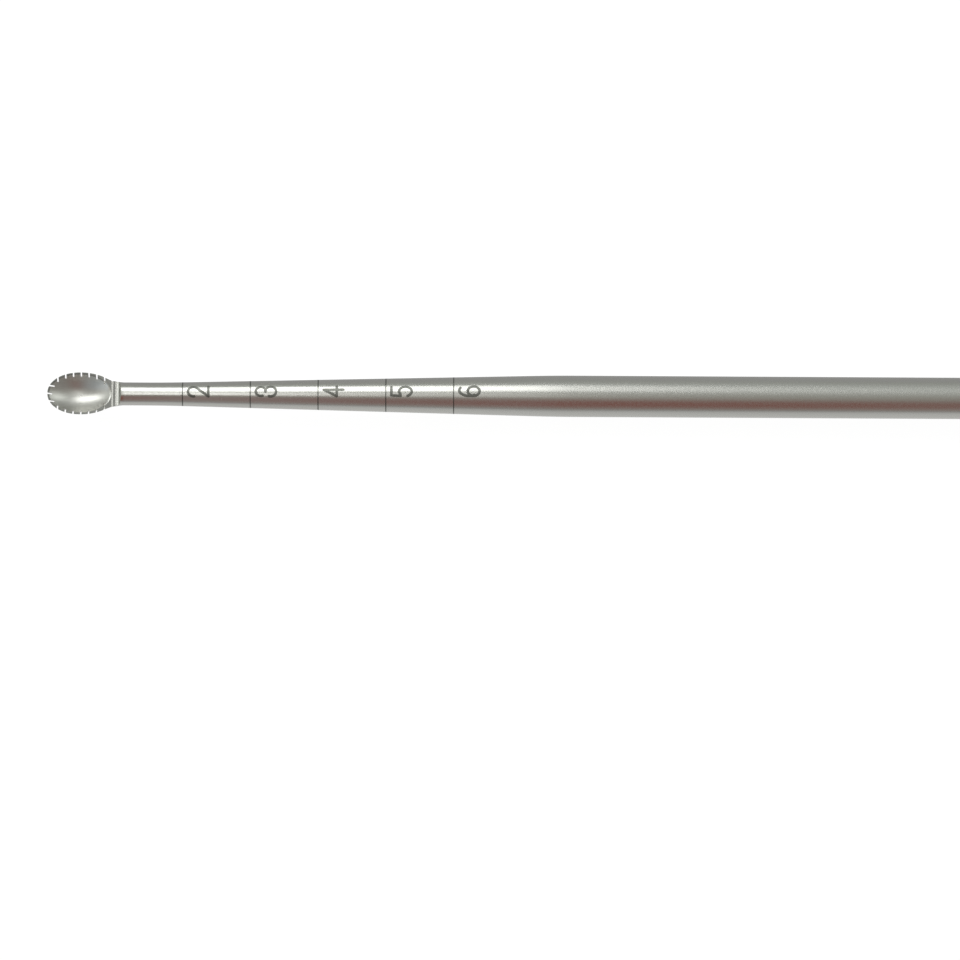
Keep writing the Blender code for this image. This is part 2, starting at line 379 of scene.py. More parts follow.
def blank_section(cup, shaft, from_tip):
    """Radius of the round section here, and the height of its centre above the shaft's axis."""
    half = cup.width / 2
    along = (cup.length + shaft.root_end - from_tip) / shaft.root_length
    along = min(max(along, 0.0), 1.0)
    root = turned_radius(shaft, from_tip) + shaft.root_flare * along * along * (3 - 2 * along)
    if from_tip < cup.nose:
        away = (cup.nose - from_tip) / cup.nose
        inside = 1 - away**cup.fullness
        squared = math.copysign(abs(inside) ** (2 / cup.fullness), inside) * half**2
        depth = cup.depth * dish(away, cup.lean)
    else:
        away = min((from_tip - cup.nose) / (cup.length + cup.overrun - cup.nose), 1.0)
        root_half = math.sqrt(root**2 - cup.rim_height**2)
        squared = smooth_max(half * math.sqrt(1 - away**2), root_half, shaft.heel_blend) ** 2
        depth = smooth_max(cup.depth * dish(away, cup.lean), root + cup.rim_height, shaft.heel_blend)
    radius = (squared + depth**2) / (2 * depth)
    return radius, cup.rim_height - depth + radius


def new_object(name, builder):
    """Links an object whose mesh comes from a bmesh, smooth and with its normals facing out."""
    bmesh.ops.recalc_face_normals(builder, faces=builder.faces[:])
    mesh = bpy.data.meshes.new(name)
    builder.to_mesh(mesh)
    builder.free()
    mesh.shade_smooth()
    made = bpy.data.objects.new(name, mesh)
    bpy.context.scene.collection.objects.link(made)
    return made


def skin(builder, rings, closed=False):
    """Skins rings of equal point count, and caps the ends unless the rings close on themselves."""
    rows = [[builder.verts.new(point) for point in ring] for ring in rings]
    for low, high in zip(rows, rows[1:] + rows[:1] if closed else rows[1:]):
        for i in range(len(low)):
            j = (i + 1) % len(low)
            builder.faces.new((low[i], low[j], high[j], high[i]))
    if not closed:
        builder.faces.new(rows[0])
        builder.faces.new(reversed(rows[-1]))


def box(builder, low, high):
    """Adds a closed box between two corners."""
    (x0, y0, z0), (x1, y1, z1) = low, high
    skin(builder, [[(x0, y0, z), (x1, y0, z), (x1, y1, z), (x0, y1, z)] for z in (z0, z1)])


def boolean(target, cutters, operation="DIFFERENCE"):
    """Applies solid cuts or unions to a mesh in turn, and removes the forms that made them."""
    for cutter in cutters:
        step = target.modifiers.new(cutter.name, "BOOLEAN")
        step.operation = operation
        step.solver = "EXACT"
        step.object = cutter
    bpy.context.view_layer.update()
    evaluated = target.evaluated_get(bpy.context.evaluated_depsgraph_get())
    made = bpy.data.meshes.new_from_object(evaluated)
    target.modifiers.clear()
    target.data = made
    for cutter in cutters:
        bpy.data.objects.remove(cutter, do_unlink=True)


def circle(from_tip, radius, centre_height=0.0):
    """A ring across the shaft."""
    ring = []
    for i in range(AROUND):
        angle = 2 * math.pi * (i + 0.5) / AROUND
        y, z = radius * math.cos(angle), AXIS_HEIGHT + centre_height + radius * math.sin(angle)
        ring.append((x_at(from_tip), y, z))
    return ring


def to_corner(shaft, across_flats):
    """Distance from the axis to a corner of the handle's sides."""
    return across_flats / 2 / math.cos(math.pi / shaft.handle_sides)


def make_blank(cup, shaft):
    """The bar before milling: a lofted cup blank that runs on into the turned neck, shaft and handle."""
    ahead_of_tip = cup.nose * (1 - math.sqrt(1 + cup.lean**2)) / 2
    blend = shaft.taper_blend / 2
    taper_end = shaft.taper_start + shaft.taper_length
    stations = places(ahead_of_tip, cup.nose, NOSE_STEPS, crowding=1.5)
    stations += places(cup.nose, cup.length + shaft.root_end, HEEL_STEPS)[1:]
    stations += places(shaft.taper_start - blend, shaft.taper_start + blend, BLEND_STEPS)
    stations += places(taper_end - blend, taper_end + blend, BLEND_STEPS)
    rings = [circle(s, *blank_section(cup, shaft, s)) for s in sorted(stations)]
    turned = to_corner(shaft, shaft.across_flats) - shaft.corner_trim
    end = CURETTE_LENGTH
    rings.append(circle(shaft.handle_start, turned_radius(shaft, shaft.handle_start)))
    rings.append(circle(shaft.handle_start + shaft.collar, turned))
    rings.append(circle(end - shaft.butt_chamfer, turned))
    rings.append(circle(end, turned - shaft.butt_chamfer))
    builder = bmesh.new()
    skin(builder, rings)
    bmesh.ops.triangulate(builder, faces=builder.faces[:])
    return new_object("curette_steel", builder)


def make_rim_cutter(cup):
    """Everything above the rim, back to the steep shoulder that rises out of a hollow."""
    rim = AXIS_HEIGHT + cup.rim_height
    top = cup.width**2 / cup.depth / 2
    foot = x_at(cup.length)
    profile = [(x_at(-CLEAR), top), (x_at(-CLEAR), 0.0)]
    for turn in places(0.0, cup.shoulder_angle, FILLET_STEPS):
        x = foot + cup.shoulder_fillet * math.sin(turn)
        profile.append((x, cup.shoulder_fillet * (1 - math.cos(turn))))
    x, rise = profile[-1]
    profile.append((x + (top - rise) / math.tan(cup.shoulder_angle), top))
    side = cup.width / 2 + CLEAR
    builder = bmesh.new()
    skin(builder, [[(x, y, rim + rise) for x, rise in profile] for y in (-side, side)])
    return new_object("rim_cutter", builder)


def egg(cup, nose, heel, half_width, level):
    """An egg outline about the cup's widest place: a blunt nose ahead of it and an ellipse behind."""
    ring = []
    for i in range(AROUND_BOWL):
        angle = 2 * math.pi * (i + 0.5) / AROUND_BOWL
        along, across = math.cos(angle), math.sin(angle)
        x, y = x_at(cup.nose) + heel * along, half_width * across
        if along < 0:
            reach = (abs(along) ** cup.fullness + abs(across) ** cup.fullness) ** (-1 / cup.fullness)
            x, y = x_at(cup.nose) + nose * along * reach, half_width * across * reach
        ring.append((x, y, level))
    return ring


def bowl_sizes(cup):
    """Nose, heel and half width of the bowl's inner edge, below its bevel."""
    heel = cup.length - cup.heel_land - cup.heel_bevel - cup.nose
    return cup.nose - cup.rim_wall, heel, cup.width / 2 - cup.rim_wall


def make_bowl_cutter(cup):
    """The hollow of the cup: one dished section all round, with a bevel that thins the rim.

    The bevel runs on above the rim only as far as it drops below it, clear of the shoulder.
    """
    nose, heel, half = bowl_sizes(cup)
    rim = AXIS_HEIGHT + cup.rim_height
    spread = 2 * (cup.rim_wall - cup.rim_edge)
    rings = [egg(cup, nose + spread, heel + 2 * cup.heel_bevel, half + spread, rim + cup.rim_drop)]
    for turn in places(0.0, math.pi / 2, BOWL_LEVELS)[:-1]:
        share = math.cos(turn)
        level = rim - cup.rim_drop - (cup.bowl_depth - cup.rim_drop) * dish(share, cup.bowl_lean)
        rings.append(egg(cup, nose * share, heel * share, half * share, level))
    builder = bmesh.new()
    skin(builder, rings)
    return new_object("bowl_cutter", builder)


def make_slot_cutter(cup):
    """Saw cuts through the wall, in pairs along the sides and at the tip, and the groove at the heel."""
    nose, heel, half = bowl_sizes(cup)
    half_slot = cup.slot_width / 2
    floor = AXIS_HEIGHT + cup.rim_height - cup.slot_depth
    top = AXIS_HEIGHT + cup.rim_height + CLEAR
    outside = cup.width / 2 + CLEAR
    last = cup.length - cup.groove_place
    builder = bmesh.new()
    for middle in places(cup.first_slot, last, round((last - cup.first_slot) / cup.slot_pitch))[:-1]:
        front, back = x_at(middle - half_slot), x_at(middle + half_slot)
        away = (cup.nose - middle) / nose if middle < cup.nose else (middle - cup.nose) / heel
        power = cup.fullness if middle < cup.nose else 2
        inner = half * max(1 - away**power, 0.0) ** (1 / power) - cup.slot_runout
        box(builder, (front, inner, floor), (back, outside, top))
        box(builder, (front, -outside, floor), (back, -inner, top))
    for i in range(cup.tip_slots):
        across = (i - (cup.tip_slots - 1) / 2) * cup.slot_pitch
        reach = nose * (1 - (abs(across) / half) ** cup.fullness) ** (1 / cup.fullness)
        inner = x_at(cup.nose - reach + cup.tip_runout)
        box(builder, (x_at(-CLEAR), across - half_slot, floor), (inner, across + half_slot, top))
    front, back = x_at(last - cup.groove_width / 2), x_at(last + cup.groove_width / 2)
    box(builder, (front, -outside, top - CLEAR - cup.groove_depth), (back, outside, top))
    return new_object("slot_cutter", builder)


def make_flat_cutter(shaft):
    """A sleeve with the handle's sides inside, which mills the flats."""
    rings = []
    front, back = x_at(shaft.handle_start), x_at(CURETTE_LENGTH + CLEAR)
    for across, x in ((1, front), (2, front), (2, back), (1, back)):
        corner = to_corner(shaft, across * shaft.across_flats)
        ring = []
        for i in range(shaft.handle_sides):
            angle = -math.pi / 2 + math.pi * (2 * i + 1) / shaft.handle_sides
            ring.append((x, corner * math.cos(angle), AXIS_HEIGHT + corner * math.sin(angle)))
        rings.append(ring)
    builder = bmesh.new()
    skin(builder, rings, closed=True)
    return new_object("flat_cutter", builder)


def linear(hex_colour):
    """Linear RGBA of an sRGB hex colour."""
    out = []
    for i in (0, 2, 4):
        value = int(hex_colour[i : i + 2], 16) / 255
        out.append(value / 12.92 if value <= 0.04045 else ((value + 0.055) / 1.055) ** 2.4)
    return (*out, 1.0)


def add_node(tree, kind, inputs=None, **settings):
    """Adds a node with its settings, and sets or links its inputs."""
    node = tree.nodes.new(kind)
    for name, value in settings.items():
        setattr(node, name, value)
    for socket, value in (inputs or {}).items():
        if isinstance(value, bpy.types.NodeSocket):
            tree.links.new(value, node.inputs[socket])
        else:
            node.inputs[socket].default_value = value
    return node


def scaled(colour, share):
    """The same colour, lighter or darker by this share."""
    return (colour[0] * share, colour[1] * share, colour[2] * share, 1.0)


def bare_material(name):
    """A material with an empty node tree."""
    made = bpy.data.materials.new(name)
    made.use_nodes = True
    made.node_tree.nodes.clear()
    return made, made.node_tree


def grained_metal(name, colour, darkest, lightest, grain, detail):
    """A metal whose colour varies between two shares of itself over a grain of this size."""
    made = bpy.data.materials.new(name)
    made.use_nodes = True
    tree = made.node_tree
    shader = tree.nodes["Principled BSDF"]
    shader.inputs["Metallic"].default_value = 1.0
    where = add_node(tree, "ShaderNodeTexCoord")
    pattern = add_node(
        tree,
        "ShaderNodeTexNoise",
        {"Vector": where.outputs["Object"], "Scale": 1 / grain, "Detail": detail},
    )
    tone = add_node(tree, "ShaderNodeMix", data_type="RGBA")
    tree.links.new(pattern.outputs["Fac"], tone.inputs["Factor"])
    tone.inputs["A"].default_value = scaled(linear(colour), darkest)
    tone.inputs["B"].default_value = scaled(linear(colour), lightest)
    tree.links.new(tone.outputs["Result"], shader.inputs["Base Color"])
    return made, shader, where, pattern


def ramp_stops(node, stops):
    """Sets a colour ramp's stops from pairs of place and colour."""
    ramp = node.color_ramp
    while len(ramp.elements) > 1:
        ramp.elements.remove(ramp.elements[-1])
    for i, (place, colour) in enumerate(stops):
        element = ramp.elements[0] if i == 0 else ramp.elements.new(place)
        element.position = place
        element.color = colour


def satin_stainless_steel(finish, shaft):
    """Martensitic stainless steel, turned, polished at the cup and satin-blasted towards the handle.

    The eye sees clear soft bands of light on the neck, and broader, faintly grainy ones on the shaft.
    """
    # The blasted grain is 0.05 mm, drawn at 0.3 mm so that it shows
    made, shader, where, grain = grained_metal(
        "satin_stainless_steel", finish.steel, darkest=0.93, lightest=1.0, grain=finish.grain, detail=3.0
    )
    tree = made.node_tree
    grain.inputs["Roughness"].default_value = 0.6
    split = add_node(tree, "ShaderNodeSeparateXYZ", {"Vector": where.outputs["Object"]})
    grade = add_node(
        tree,
        "ShaderNodeMapRange",
        {
            "Value": split.outputs["X"],
            "From Min": x_at(shaft.taper_start),
            "From Max": x_at(shaft.taper_start + shaft.taper_length),
            "To Min": finish.cup_roughness,
            "To Max": finish.shaft_roughness,
        },
    )
    unevenness = 0.03  # of the roughness, either way, over the span that most of the grain falls in
    haze = add_node(
        tree,
        "ShaderNodeMapRange",
        {
            "Value": grain.outputs["Fac"],
            "From Min": 0.3,
            "From Max": 0.7,
            "To Min": -unevenness,
            "To Max": unevenness,
        },
    )
    rough = add_node(
        tree, "ShaderNodeMath", {0: grade.outputs["Result"], 1: haze.outputs["Result"]}, operation="ADD"
    )
    tree.links.new(rough.outputs[0], shader.inputs["Roughness"])
    return made


def blasted_bowl_steel(finish):
    """The same steel inside the bowl, blasted: it holds one broad soft light with no hard edge."""
    # The blasted grain is 0.05 mm, drawn at 0.2 mm so that it shows
    made, shader, *_ = grained_metal(
        "blasted_bowl_steel", finish.steel, darkest=0.88, lightest=1.0, grain=0.2 * MM, detail=2.0
    )
    shader.inputs["Roughness"].default_value = finish.bowl_roughness
    return made


def ground_rim_steel(finish):
    """The same steel where the rim was milled and left from the tool: matt, and darker than the bowl."""
    # The cutter's marks are 0.1 mm apart, drawn at 0.35 mm so that they show
    made, shader, *_ = grained_metal(
        "ground_rim_steel", finish.rim, darkest=0.75, lightest=1.15, grain=0.35 * MM, detail=2.0
    )
    shader.inputs["Roughness"].default_value = finish.rim_roughness
    return made


def laser_annealed_oxide(finish):
    """A dark oxide that a laser grew on the steel: it dulls the steel but still shines in the softbox."""
    # The laser's passes are 0.05 mm apart, drawn at 0.15 mm so that they show
    made, shader, *_ = grained_metal(
        "laser_annealed_oxide", finish.mark, darkest=0.6, lightest=1.3, grain=0.15 * MM, detail=1.0
    )
    shader.inputs["Roughness"].default_value = finish.mark_roughness
    return made


class CURETTE_OT_steel(bpy.types.Operator):
    """Builds the cup, neck, taper, shaft and handle as one piece of steel"""

    bl_idname = "curette.steel"
    bl_label = "Build Steel"

    def execute(self, context):
        scene = context.scene
        cup, shaft, finish = scene.curette_cup, scene.curette_shaft, scene.curette_finish
        steel = make_blank(cup, shaft)
        cup_cutters = [make_rim_cutter(cup), make_bowl_cutter(cup), make_slot_cutter(cup)]
        boolean(steel, [*cup_cutters, make_flat_cutter(shaft)])
        steel.data.materials.clear()
        steel.data.materials.append(satin_stainless_steel(finish, shaft))
        steel.data.materials.append(ground_rim_steel(finish))
        steel.data.materials.append(blasted_bowl_steel(finish))
        rim = AXIS_HEIGHT + cup.rim_height
        heel = x_at(cup.length)
        bevel_low = rim - cup.rim_drop * BEVEL_SLACK
        for face in steel.data.polygons:
            lowest = min(steel.data.vertices[v].co.z for v in face.vertices)
            in_cup = face.center.x < heel and UPWARD < face.normal.z
            if in_cup and bevel_low < lowest:
                face.material_index = GROUND if TOWARDS_TIP < face.normal.x else SATIN
            elif in_cup and face.normal.z < LEVEL:
                face.material_index = BLASTED
        steel.data.set_sharp_from_angle(angle=SHARP_ANGLE)
        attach(steel, "root")
        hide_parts("curette")
        return {"FINISHED"}


class CURETTE_OT_rings(bpy.types.Operator):
    """Builds the rings of the depth scale"""

    bl_idname = "curette.rings"
    bl_label = "Build Rings"

    def execute(self, context):
        shaft, marks = context.scene.curette_shaft, context.scene.curette_marks
        oxide = laser_annealed_oxide(context.scene.curette_finish)
        for number in range(marks.first, marks.last + 1):
            middle = number * marks.spacing
            rings = []
            corners = ((-1, -marks.sunk), (1, -marks.sunk), (1, marks.proud), (-1, marks.proud))
            for i in range(AROUND):
                angle = 2 * math.pi * (i + 0.5) / AROUND
                ring = []
                for side, rise in corners:
                    s = middle + side * marks.ring_width / 2
                    radius = turned_radius(shaft, s) + rise
                    y, z = radius * math.cos(angle), AXIS_HEIGHT + radius * math.sin(angle)
                    ring.append((x_at(s), y, z))
                rings.append(ring)
            builder = bmesh.new()
            skin(builder, rings, closed=True)
            ring = new_object(f"depth_ring_{number}", builder)
            ring.data.materials.append(oxide)
            ring.data.set_sharp_from_angle(angle=SHARP_ANGLE)
            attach(ring, "root")
        return {"FINISHED"}


def arc(centre, radii, start, end, steps=20):
    """Points on an ellipse from one angle in degrees to another."""
    points = []
    for turn in places(math.radians(start), math.radians(end), steps):
        points.append((centre[0] + radii[0] * math.cos(turn), centre[1] + radii[1] * math.sin(turn)))
    return points


# Each numeral's strokes in a box from -1 to 1 across and -1 to 1 up, as lines and arcs
NUMERALS = {
    2: [
        arc((-0.08, 0.47), (0.95, 0.53), 188, -28) + [(-1.0, -1.0)],
        [(-1.0, -1.0), (0.95, -1.0)],
    ],
    3: [
        arc((-0.05, 0.5), (0.9, 0.5), 200, -62) + [(-0.1, 0.05)],
        [(-0.1, 0.05)] + arc((-0.05, -0.47), (0.98, 0.53), 62, -200),
    ],
    4: [
        [(0.3, 1.0), (-1.0, -0.3)],
        [(-1.0, -0.3), (0.95, -0.3)],
        [(0.3, 1.0), (0.3, -0.95)],
    ],
    5: [
        [(0.85, 1.0), (-0.85, 1.0)],
        [(-0.85, 1.0), (-0.95, 0.1)],
        [(-0.95, 0.1)] + arc((-0.05, -0.38), (0.95, 0.62), 130, -160),
    ],
    6: [
        arc((0.0, -0.42), (0.95, 0.58), 90, 450, 40),
        arc((0.15, 0.05), (1.1, 0.95), 60, 215, 30),
    ],
}


def ribbon(builder, points, width, low, high):
    """Adds a solid band of this width along a line of points, with round ends."""
    left, right = [], []
    for i, point in enumerate(points):
        before, after = points[max(i - 1, 0)], points[min(i + 1, len(points) - 1)]
        along = (Vector(after) - Vector(before)).normalized()
        across = Vector((-along.y, along.x)) * width / 2
        left.append(Vector(point) + across)
        right.append(Vector(point) - across)
    outline = left
    for end, side, following in ((points[-1], left[-1], reversed(right)), (points[0], right[0], [])):
        spoke = side - Vector(end)
        for turn in places(0.0, -math.pi, STROKE_END_STEPS)[1:-1]:
            outline.append(Vector(end) + Matrix.Rotation(turn, 2) @ spoke)
        outline.extend(following)
    skin(builder, [[(p.x, p.y, level) for p in outline] for level in (low, high)])


class CURETTE_OT_numerals(bpy.types.Operator):
    """Builds the numerals of the depth scale, bent on to the taper"""

    bl_idname = "curette.numerals"
    bl_label = "Build Numerals"

    def execute(self, context):
        shaft, marks = context.scene.curette_shaft, context.scene.curette_marks
        oxide = bpy.data.materials["laser_annealed_oxide"]
        half_high = (marks.height - marks.stroke) / 2
        half_wide = (marks.width - marks.stroke) / 2
        for number in range(marks.first, marks.last + 1):
            solids = []
            for stroke in NUMERALS[number]:
                points = [(a * half_wide, b * half_high) for a, b in stroke]
                builder = bmesh.new()
                ribbon(builder, points, marks.stroke, -marks.sunk, marks.proud)
                solids.append(new_object(f"depth_numeral_{number}", builder))
            numeral = solids[0]
            boolean(numeral, solids[1:], "UNION")
            self.bend(numeral.data, shaft, marks, number)
            numeral.data.materials.clear()
            numeral.data.materials.append(oxide)
            numeral.data.set_sharp_from_angle(angle=NUMERAL_SHARP_ANGLE)
            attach(numeral, "root")
        return {"FINISHED"}

    def bend(self, mesh, shaft, marks, number):
        """Cuts a flat numeral into strips and wraps them round the taper, its top towards the cup."""
        builder = bmesh.new()
        builder.from_mesh(mesh)
        for across in places(-marks.width / 2, marks.width / 2, NUMERAL_STRIPS)[1:-1]:
            bmesh.ops.bisect_plane(
                builder,
                geom=builder.verts[:] + builder.edges[:] + builder.faces[:],
                plane_co=(across, 0, 0),
                plane_no=(1, 0, 0),
                dist=SNAP,
            )
        bmesh.ops.triangulate(builder, faces=builder.faces[:])
        middle = number * marks.spacing + marks.gap + marks.height / 2
        for vert in builder.verts:
            across, up, rise = vert.co
            from_tip = middle - up
            radius = turned_radius(shaft, from_tip)
            angle = math.pi / 2 - marks.turn - across / turned_radius(shaft, middle)
            radius += rise
            y, z = radius * math.cos(angle), AXIS_HEIGHT + radius * math.sin(angle)
            vert.co = (x_at(from_tip), y, z)
        bmesh.ops.recalc_face_normals(builder, faces=builder.faces[:])
        builder.to_mesh(mesh)
        builder.free()


# The room's colours about the shaft, by the share of the half turn from the far horizon to the near one
CEILING = (
    (0.0, (0.42, 0.43, 0.41, 1.0)),
    (12 / 180, (0.43, 0.44, 0.42, 1.0)),
    (33 / 180, (0.51, 0.53, 0.51, 1.0)),
    (55 / 180, (0.57, 0.59, 0.57, 1.0)),
    (75 / 180, (0.52, 0.53, 0.51, 1.0)),
    (90 / 180, (0.42, 0.42, 0.39, 1.0)),
    (106 / 180, (0.36, 0.34, 0.31, 1.0)),
)
# Its colours over the near side of the table, from the cup's end of the room to the handle's end
NEAR_SIDE = (
    (0.0, (0.6, 0.64, 0.68, 1.0)),
    (0.2, (0.45, 0.49, 0.53, 1.0)),
    (0.38, (0.39, 0.4, 0.41, 1.0)),
    (0.48, (0.37, 0.34, 0.32, 1.0)),
    (0.6, (0.34, 0.31, 0.29, 1.0)),
    (0.75, (0.32, 0.31, 0.3, 1.0)),
    (0.9, (0.36, 0.34, 0.32, 1.0)),
)


class CURETTE_OT_stage(bpy.types.Operator):
    """Builds the paper, the softbox, two cards, a red wall, the studio around them and the camera"""

    bl_idname = "curette.stage"
    bl_label = "Build Stage"

    def execute(self, context):
        stage = context.scene.curette_stage
        self.paper(stage)
        softbox = (stage.lamp_distance, stage.lamp_angle, stage.lamp_size, stage.lamp_place)
        self.lamp(context, "softbox", stage.lamp_watts, *softbox)
        card = (stage.card_distance, stage.card_angle)
        self.lamp(context, "near_card", stage.near_watts, *card, stage.near_size, stage.near_place)
        self.lamp(context, "far_card", stage.far_watts, *card, stage.far_size, stage.far_place)
        self.red_wall(stage)
        self.studio(context)
        self.camera(context, stage)
        context.scene.view_settings.view_transform = "Standard"
        return {"FINISHED"}

    def paper(self, stage):
        """A sheet of white paper, exposed so that it reads white to the camera.

        To the steel it is a painted glow instead, dimmer than white: brightest on the near side, and
        falling off away from the shaft.
        """
        builder = bmesh.new()
        reach = 3.0
        corners = ((-reach, -reach), (reach, -reach), (reach, reach), (-reach, reach))
        builder.faces.new([builder.verts.new((x, y, 0.0)) for x, y in corners])
        paper = new_object("paper_sweep", builder)
        made, tree = bare_material("white_paper")
        where = add_node(tree, "ShaderNodeTexCoord")
        split = add_node(tree, "ShaderNodeSeparateXYZ", {"Vector": where.outputs["Object"]})
        # Painted light: in the steel's reflections the paper glows, lighter on the near side and darker
        # behind the shaft, and fades further out on the near side
        under_shaft = 0.004
        near_glow, far_glow = 0.72, 0.43
        side = add_node(
            tree,
            "ShaderNodeMapRange",
            {
                "Value": split.outputs["Y"],
                "From Min": -under_shaft,
                "From Max": under_shaft,
                "To Min": near_glow,
                "To Max": far_glow,
            },
            interpolation_type="SMOOTHSTEP",
        )
        fall_start, fall_end, fallen = -0.012, -0.1, 0.45
        fall = add_node(
            tree,
            "ShaderNodeMapRange",
            {
                "Value": split.outputs["Y"],
                "From Min": fall_end,
                "From Max": fall_start,
                "To Min": fallen,
                "To Max": 1.0,
            },
        )
        dimmed = add_node(
            tree,
            "ShaderNodeMath",
            {0: side.outputs["Result"], 1: fall.outputs["Result"]},
            operation="MULTIPLY",
        )
        glow = add_node(tree, "ShaderNodeEmission", {"Strength": dimmed.outputs[0]})
        # Most of the white is an even light, and a little of it takes the shaft's shadow
        shadowed, even_light = 0.12, 0.95
        lit = add_node(tree, "ShaderNodeBsdfDiffuse", {"Color": scaled(WHITE, shadowed)})
        even = add_node(tree, "ShaderNodeEmission", {"Strength": even_light})
        white = add_node(tree, "ShaderNodeAddShader", {0: lit.outputs[0], 1: even.outputs[0]})
        pale = add_node(tree, "ShaderNodeBsdfDiffuse", {"Color": linear(stage.paper)})
        path = add_node(tree, "ShaderNodeLightPath")
        seen = add_node(
            tree,
            "ShaderNodeMixShader",
            {0: path.outputs["Is Camera Ray"], 1: pale.outputs[0], 2: white.outputs[0]},
        )
        mirrored = add_node(
            tree,
            "ShaderNodeMixShader",
            {0: path.outputs["Is Glossy Ray"], 1: seen.outputs[0], 2: glow.outputs[0]},
        )
        add_node(tree, "ShaderNodeOutputMaterial", {"Surface": mirrored.outputs[0]})
        paper.data.materials.append(made)

    def lamp(self, context, name, watts, distance, angle, size, place):
        """A flat light that faces the shaft's axis from this angle above the horizon behind it."""
        light = bpy.data.lights.new(name, "AREA")
        light.shape = "RECTANGLE"
        light.size, light.size_y = size
        light.energy = watts
        away = Vector((0.0, math.cos(angle), math.sin(angle)))
        made = bpy.data.objects.new(name, light)
        made.location = Vector((x_at(place), 0.0, AXIS_HEIGHT)) + away * distance
        made.rotation_euler = (angle - math.pi / 2, 0.0, 0.0)
        context.scene.collection.objects.link(made)

    def red_wall(self, stage):
        """A strip of red wall over the near side of the table, which only the steel mirrors.

        It fades out at its ends and edges, so the band that it leaves on the shaft is soft.
        """
        angle, distance = math.radians(140), 0.8
        left, right, above, below = -0.18, 0.11, 0.57, 0.64
        away = Vector((0.0, math.cos(angle), math.sin(angle)))
        down = Vector((0.0, -math.sin(angle), math.cos(angle)))
        centre = Vector((0.0, 0.0, AXIS_HEIGHT)) + away * distance
        builder = bmesh.new()
        corners = []
        for x, drop in ((left, -above), (right, -above), (right, below), (left, below)):
            corners.append(builder.verts.new(centre + down * drop + Vector((x, 0.0, 0.0))))
        builder.faces.new(corners)
        wall = new_object("red_wall", builder)
        made, tree = bare_material("painted_wall")
        where = add_node(tree, "ShaderNodeTexCoord")
        split = add_node(tree, "ShaderNodeSeparateXYZ", {"Vector": where.outputs["Object"]})
        turn = add_node(
            tree, "ShaderNodeMath", {0: split.outputs["Z"], 1: split.outputs["Y"]}, operation="ARCTAN2"
        )
        path = add_node(tree, "ShaderNodeLightPath")
        cover = path.outputs["Is Glossy Ray"]
        # Where each fade starts and ends, and its cover there: over the angle about the shaft, then over X
        for value, start, end, low, high in (
            (turn.outputs[0], math.radians(105), math.radians(136), 0.0, 1.0),
            (turn.outputs[0], math.radians(150), math.radians(180), 1.0, 0.2),
            (split.outputs["X"], -0.175, -0.105, 0.0, 1.0),
            (split.outputs["X"], 0.055, 0.1, 1.0, 0.0),
        ):
            edge = add_node(
                tree,
                "ShaderNodeMapRange",
                {"Value": value, "From Min": start, "From Max": end, "To Min": low, "To Max": high},
                interpolation_type="SMOOTHSTEP",
            )
            faded = add_node(
                tree, "ShaderNodeMath", {0: cover, 1: edge.outputs["Result"]}, operation="MULTIPLY"
            )
            cover = faded.outputs[0]
        clear = add_node(tree, "ShaderNodeBsdfTransparent")
        paint = add_node(tree, "ShaderNodeEmission", {"Color": linear(stage.wall), "Strength": 1.0})
        mixed = add_node(
            tree, "ShaderNodeMixShader", {0: cover, 1: clear.outputs[0], 2: paint.outputs[0]}
        )
        add_node(tree, "ShaderNodeOutputMaterial", {"Surface": mixed.outputs[0]})
        wall.data.materials.append(made)

    def studio(self, context):
        """The room that the steel mirrors: a pale ceiling, dimmer over the near side of the table.

        Past the cup stands a lit end wall, and past the handle, on the far side, a window.
        """
        world = bpy.data.worlds.new("studio")
        world.use_nodes = True
        tree = world.node_tree
        tree.nodes.clear()
        where = add_node(tree, "ShaderNodeTexCoord")
        split = add_node(tree, "ShaderNodeSeparateXYZ", {"Vector": where.outputs["Generated"]})
        turn = add_node(
            tree, "ShaderNodeMath", {0: split.outputs["Z"], 1: split.outputs["Y"]}, operation="ARCTAN2"
        )
        # Half a turn about the shaft: 0 at the far horizon, and 1 at the near one
        share = add_node(
            tree,
            "ShaderNodeMapRange",
            {"Value": turn.outputs[0], "From Min": 0.0, "From Max": math.pi},
        )
        ceiling = add_node(tree, "ShaderNodeValToRGB", {"Fac": share.outputs["Result"]})
        ramp_stops(ceiling, CEILING)
        along = add_node(
            tree,
            "ShaderNodeMapRange",
            {"Value": split.outputs["X"], "From Min": -1.0, "From Max": 1.0},
        )
        front = add_node(tree, "ShaderNodeValToRGB", {"Fac": along.outputs["Result"]})
        ramp_stops(front, NEAR_SIDE)
        high, high_light, horizon_light = 115 / 180, 0.84, 1.08
        low = add_node(
            tree,
            "ShaderNodeMapRange",
            {
                "Value": share.outputs["Result"],
                "From Min": high,
                "From Max": 1.0,
                "To Min": high_light,
                "To Max": horizon_light,
            },
        )
        floor = add_node(
            tree,
            "ShaderNodeVectorMath",
            {0: front.outputs["Color"], 3: low.outputs["Result"]},
            operation="SCALE",
        )
        ceiling_ends, near_side_starts = 105 / 180, 136 / 180
        ahead = add_node(
            tree,
            "ShaderNodeMapRange",
            {"Value": share.outputs["Result"], "From Min": ceiling_ends, "From Max": near_side_starts},
            interpolation_type="SMOOTHSTEP",
        )
        room_colour = add_node(tree, "ShaderNodeMix", data_type="RGBA")
        tree.links.new(ahead.outputs["Result"], room_colour.inputs["Factor"])
        tree.links.new(ceiling.outputs["Color"], room_colour.inputs["A"])
        tree.links.new(floor.outputs[0], room_colour.inputs["B"])
        to_window, window_edge, window_full, window_light = (0.78, 0.38, 0.5), 0.945, 0.985, 3.2
        facing = add_node(
            tree,
            "ShaderNodeVectorMath",
            {0: where.outputs["Generated"], 1: to_window},
            operation="DOT_PRODUCT",
        )
